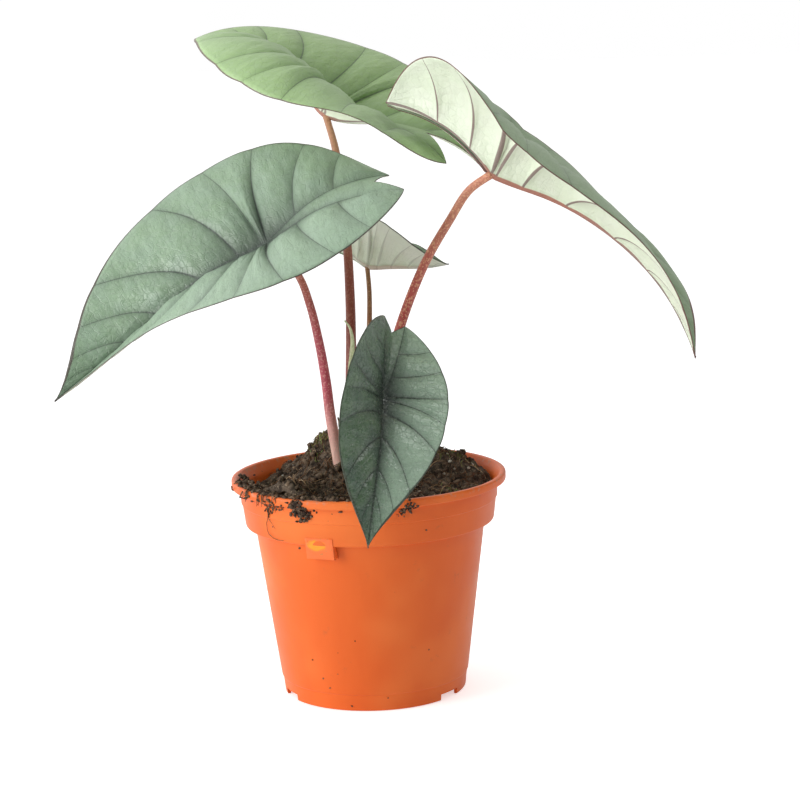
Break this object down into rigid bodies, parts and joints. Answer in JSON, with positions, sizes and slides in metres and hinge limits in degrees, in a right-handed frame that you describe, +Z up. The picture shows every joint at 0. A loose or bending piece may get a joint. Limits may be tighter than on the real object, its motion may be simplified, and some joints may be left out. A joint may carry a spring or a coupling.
{
  "type": "potted alocasia platinum",
  "caption": "Young alocasia with pale silvery shield-shaped leaves on slender red stalks, standing in peat in a tapered orange-brown nursery pot.",
  "frame": {"origin": "centre of the pot's underside, on the pot's axis, at the surface it stands on", "axes": "+Z up along the pot's axis, -Y towards the viewer of the picture, +X to the viewer's right"},
  "size_m": [0.2719, 0.2037, 0.2892],
  "materials": {
    "pot": "satin injection-moulded polypropylene, orange-brown",
    "potting_soil": "loose fibrous peat with perlite",
    "leaf_left": "silvery grey-green leaf with sunken dark veins",
    "leaf_top": "light green leaf with sunken darker veins",
    "leaf_right": "leaf seen from below, pale with red-brown ribs",
    "leaf_back": "leaf seen from below, pale grey-green",
    "leaf_front": "dark green leaf with a soft gloss",
    "petiole_left": "pinkish red stalk",
    "petiole_top": "brown-red stalk",
    "petiole_right": "red stalk, finely speckled",
    "petiole_back": "olive-brown stalk",
    "petiole_front": "reddish stalk",
    "new_shoot": "pale green sheath",
    "dry_sheath": "dry brown scale leaf"
  },
  "bodies": {
    "root": {"pot": "pot", "potting_soil": "potting_soil", "leaf_left": "leaf_left", "leaf_top": "leaf_top", "leaf_right": "leaf_right", "leaf_back": "leaf_back", "leaf_front": "leaf_front", "petiole_left": "petiole_left", "petiole_top": "petiole_top", "petiole_right": "petiole_right", "petiole_back": "petiole_back", "petiole_front": "petiole_front", "new_shoot": "new_shoot", "dry_sheath": "dry_sheath"}
  },
  "joints": []
}
